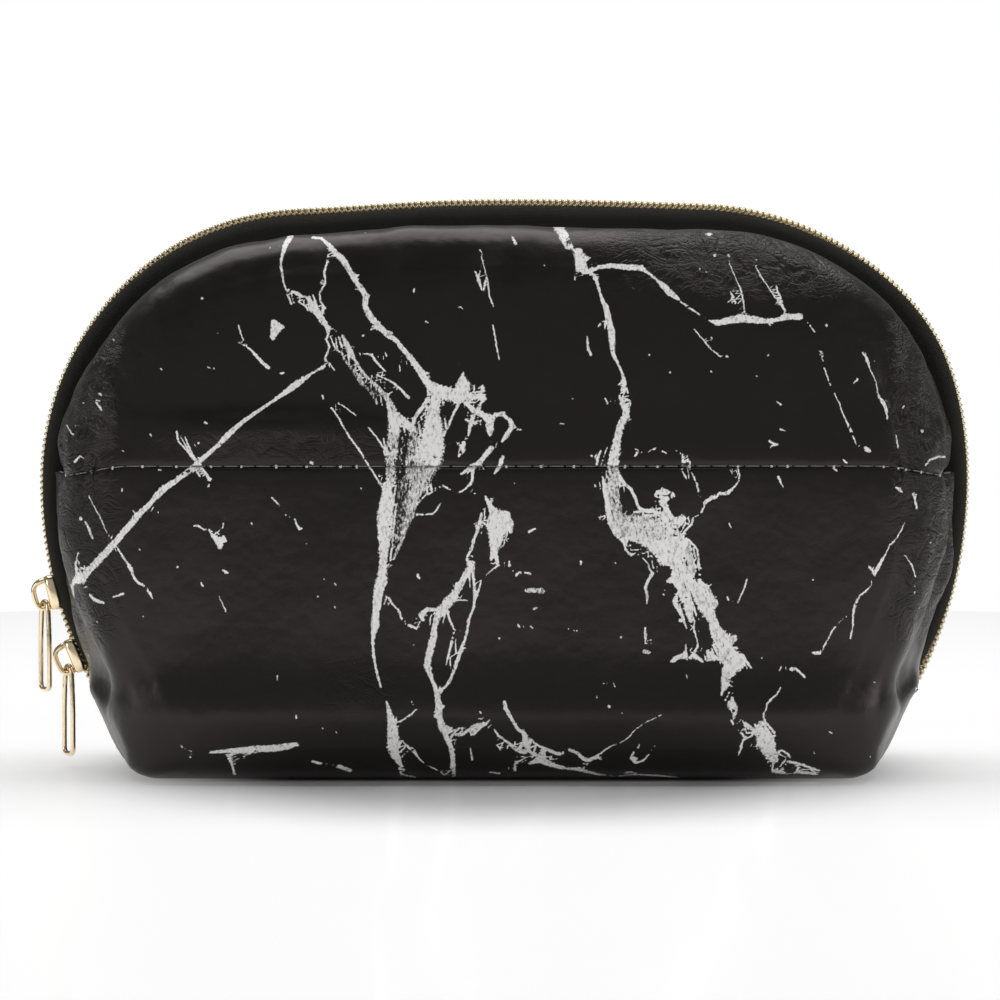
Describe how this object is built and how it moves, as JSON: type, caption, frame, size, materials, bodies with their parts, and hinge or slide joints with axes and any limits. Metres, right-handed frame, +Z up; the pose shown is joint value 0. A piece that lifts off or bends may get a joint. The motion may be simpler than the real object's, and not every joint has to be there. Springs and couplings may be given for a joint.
{
  "type": "cosmetic pouch",
  "caption": "Soft half-moon cosmetic pouch in marbled leather, with a zip over its whole arch, metal sliders with loop pulls, a seam across the front and a flat base.",
  "frame": {"origin": "on the floor, in the middle of the flat base: on the zip's plane and midway between the zip's two widest points", "axes": "+Z up, X along the pouch's width, -Y out of the front"},
  "size_m": [0.2531, 0.0886, 0.1533],
  "materials": {
    "marbled_leather": "semi-gloss black faux leather with a white vein print",
    "lining_fabric": "plain dark woven lining",
    "board": "stiff sheet",
    "zip_tape": "matt woven tape",
    "zip_coil": "pale gold coated coil",
    "gold_metal": "polished champagne gold plating",
    "thread": "black sewing thread"
  },
  "bodies": {
    "lower_body": {"lower_panel": "marbled_leather", "lower_lining": "lining_fabric", "base_board": "board", "front_zip_tape_lower": "zip_tape", "back_zip_tape_lower": "zip_tape", "front_zip_coil_lower": "zip_coil", "back_zip_coil_lower": "zip_coil", "zip_end_stops": "gold_metal", "front_seam_thread": "thread", "back_seam_thread": "thread"},
    "front_wall": {"upper_front_panel": "marbled_leather", "upper_front_lining": "lining_fabric", "front_zip_tape_upper": "zip_tape", "front_zip_coil_upper": "zip_coil"},
    "back_wall": {"upper_back_panel": "marbled_leather", "upper_back_lining": "lining_fabric", "back_zip_tape_upper": "zip_tape", "back_zip_coil_upper": "zip_coil"},
    "upper_slider": {"upper_slider_body": "gold_metal", "upper_slider_bail": "gold_metal"},
    "upper_loop": {"upper_pull": "gold_metal"},
    "lower_slider": {"lower_slider_body": "gold_metal", "lower_slider_bail": "gold_metal"},
    "lower_loop": {"lower_pull": "gold_metal"}
  },
  "joints": [
    {"name": "front_wall_fold", "type": "hinge", "parent": "lower_body", "child": "front_wall", "pos_m": [0, -0.044, 0.0825], "axis": [1, 0, 0], "range_deg": [0, 20]},
    {"name": "back_wall_fold", "type": "hinge", "parent": "lower_body", "child": "back_wall", "pos_m": [0, 0.044, 0.0825], "axis": [-1, 0, 0], "range_deg": [0, 20]},
    {"name": "upper_slider_travel", "type": "hinge", "parent": "lower_body", "child": "upper_slider", "pos_m": [-0.0068, 0, 0.077], "axis": [0, 1, 0], "range_deg": [-1.2, 13.5]},
    {"name": "lower_slider_travel", "type": "hinge", "parent": "lower_body", "child": "lower_slider", "pos_m": [-0.0068, 0, 0.077], "axis": [0, 1, 0], "range_deg": [-1.6, 1.2]},
    {"name": "upper_pull_swing", "type": "hinge", "parent": "upper_slider", "child": "upper_loop", "pos_m": [-0.12418, 0, 0.04442], "axis": [0, 1, 0], "range_deg": [-4, 110]},
    {"name": "lower_pull_swing", "type": "hinge", "parent": "lower_slider", "child": "lower_loop", "pos_m": [-0.11788, 0, 0.027], "axis": [0, 1, 0], "range_deg": [-20, 35]}
  ]
}
